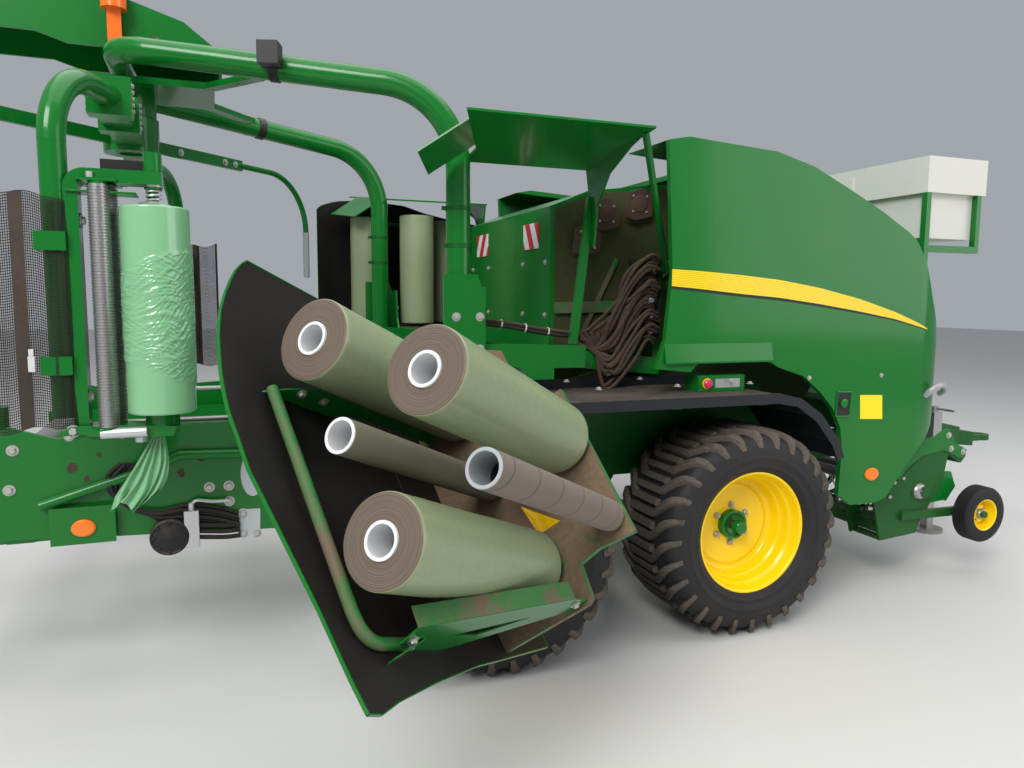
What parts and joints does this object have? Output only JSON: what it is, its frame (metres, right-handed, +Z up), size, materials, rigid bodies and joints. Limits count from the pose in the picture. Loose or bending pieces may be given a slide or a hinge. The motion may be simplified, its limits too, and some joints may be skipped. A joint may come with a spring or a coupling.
{
  "type": "round baler and bale wrapper combination",
  "caption": "Towed round baler with a bale wrapper behind it: tandem wheels, chamber with tailgate, satellite film dispensers, tipping table and swing-down film boxes.",
  "frame": {"origin": "centre of the towing eye's hole", "axes": "+X forward along the machine, +Y to its left, +Z up"},
  "size_m": [7.19, 4.3773, 3.16],
  "materials": {
    "green_paint": "gloss",
    "yellow_paint": "gloss",
    "white_red_board": "gloss",
    "black_plastic": "satin",
    "box_sheet": "satin",
    "tyre_rubber": "matt",
    "steel": "satin",
    "beacon_orange": "gloss",
    "lamp_red": "gloss",
    "tank_plastic": "satin",
    "film_green": "gloss",
    "film_old": "satin",
    "cardboard": "matt"
  },
  "bodies": {
    "frame": {"chassis": "green_paint", "axles": "green_paint", "drawbar": "green_paint", "jack": "steel", "chamber": "green_paint", "chamber_rollers": "steel", "gearbox": "green_paint", "front_hood": "green_paint", "mudguard_right": "black_plastic", "mudguard_left": "black_plastic", "roof_right": "green_paint", "roof_left": "green_paint", "portal": "green_paint", "satellite_mount": "green_paint", "hub_cover": "green_paint", "beacon": "beacon_orange", "work_lamps": "black_plastic", "wrapper_frame": "green_paint", "rear_lamps": "lamp_red", "tank": "tank_plastic", "tank_frame": "green_paint", "valve_block": "black_plastic", "control_box": "green_paint", "upper_frame": "green_paint", "box_hinges": "green_paint", "hoses": "black_plastic"},
    "wheel_front_right": {"tyre_front_right": "tyre_rubber", "rim_front_right": "yellow_paint"},
    "wheel_front_left": {"tyre_front_left": "tyre_rubber", "rim_front_left": "yellow_paint"},
    "wheel_rear_right": {"tyre_rear_right": "tyre_rubber", "rim_rear_right": "yellow_paint"},
    "wheel_rear_left": {"tyre_rear_left": "tyre_rubber", "rim_rear_left": "yellow_paint"},
    "pickup": {"pickup": "green_paint", "pickup_bands": "green_paint"},
    "reel": {"tine_reel": "steel"},
    "gauge_right": {"gauge_wheel_right": "tyre_rubber"},
    "gauge_left": {"gauge_wheel_left": "tyre_rubber"},
    "panel_right": {"panel_right": "green_paint"},
    "panel_left": {"panel_left": "green_paint"},
    "tailgate": {"tailgate": "green_paint", "marker_boards": "white_red_board"},
    "satellite": {"satellite": "green_paint", "dispenser_right": "green_paint", "dispenser_left": "green_paint", "film_tail_right": "film_green", "film_tail_left": "film_green"},
    "roll_right": {"film_roll_right": "film_green"},
    "roll_left": {"film_roll_left": "film_green"},
    "table": {"table": "green_paint", "table_rollers": "steel"},
    "film_box_right": {"film_box_right": "box_sheet", "stored_film_right": "film_old", "stored_cores_right": "cardboard"},
    "film_box_left": {"film_box_left": "box_sheet", "stored_film_left": "film_old", "stored_cores_left": "cardboard"}
  },
  "joints": [
    {"name": "wheel_front_right_spin", "type": "hinge", "parent": "frame", "child": "wheel_front_right", "pos_m": [-3.3055, -1.146, -0.07], "axis": [0, 1, 0], "continuous": true},
    {"name": "wheel_front_left_spin", "type": "hinge", "parent": "frame", "child": "wheel_front_left", "pos_m": [-3.3055, 1.146, -0.07], "axis": [0, 1, 0], "continuous": true},
    {"name": "wheel_rear_right_spin", "type": "hinge", "parent": "frame", "child": "wheel_rear_right", "pos_m": [-4.5945, -1.146, -0.07], "axis": [0, 1, 0], "continuous": true},
    {"name": "wheel_rear_left_spin", "type": "hinge", "parent": "frame", "child": "wheel_rear_left", "pos_m": [-4.5945, 1.146, -0.07], "axis": [0, 1, 0], "continuous": true},
    {"name": "pickup_lift", "type": "hinge", "parent": "frame", "child": "pickup", "pos_m": [-2.25, 0, 0.22], "axis": [0, 1, 0], "range_deg": [0, 15]},
    {"name": "reel_spin", "type": "hinge", "parent": "pickup", "child": "reel", "pos_m": [-1.83, 0, -0.05], "axis": [0, 1, 0], "continuous": true},
    {"name": "gauge_right_spin", "type": "hinge", "parent": "pickup", "child": "gauge_right", "pos_m": [-1.45, -1.15, -0.2], "axis": [0, 1, 0], "continuous": true},
    {"name": "gauge_left_spin", "type": "hinge", "parent": "pickup", "child": "gauge_left", "pos_m": [-1.45, 1.15, -0.2], "axis": [0, 1, 0], "continuous": true},
    {"name": "panel_right_open", "type": "hinge", "parent": "frame", "child": "panel_right", "pos_m": [-3.105, -0.77, 1.8], "axis": [-1, 0, 0], "range_deg": [0, 60]},
    {"name": "panel_left_open", "type": "hinge", "parent": "frame", "child": "panel_left", "pos_m": [-3.105, 0.77, 1.8], "axis": [1, 0, 0], "range_deg": [0, 60]},
    {"name": "tailgate_open", "type": "hinge", "parent": "frame", "child": "tailgate", "pos_m": [-3.33, 0, 1.6], "axis": [0, 1, 0], "range_deg": [0, 65]},
    {"name": "satellite_turn", "type": "hinge", "parent": "frame", "child": "satellite", "pos_m": [-6.15, 0, 1.88], "axis": [0, 0, 1], "continuous": true},
    {"name": "film_roll_right_spin", "type": "hinge", "parent": "satellite", "child": "roll_right", "pos_m": [-5.976, -1.286, 1.03], "axis": [0, 0, 1], "continuous": true},
    {"name": "film_roll_left_spin", "type": "hinge", "parent": "satellite", "child": "roll_left", "pos_m": [-6.324, 1.286, 1.03], "axis": [0, 0, 1], "continuous": true},
    {"name": "table_tip", "type": "hinge", "parent": "frame", "child": "table", "pos_m": [-6.55, 0, 0.28], "axis": [0, -1, 0], "range_deg": [0, 25]},
    {"name": "film_box_right_swing", "type": "hinge", "parent": "frame", "child": "film_box_right", "pos_m": [-4.845, -1.443, 0.507], "axis": [0.6561, 0, -0.7547], "range_deg": [-118, 0]},
    {"name": "film_box_left_swing", "type": "hinge", "parent": "frame", "child": "film_box_left", "pos_m": [-4.845, 1.443, 0.507], "axis": [-0.6561, 0, 0.7547], "range_deg": [0, 118]}
  ]
}
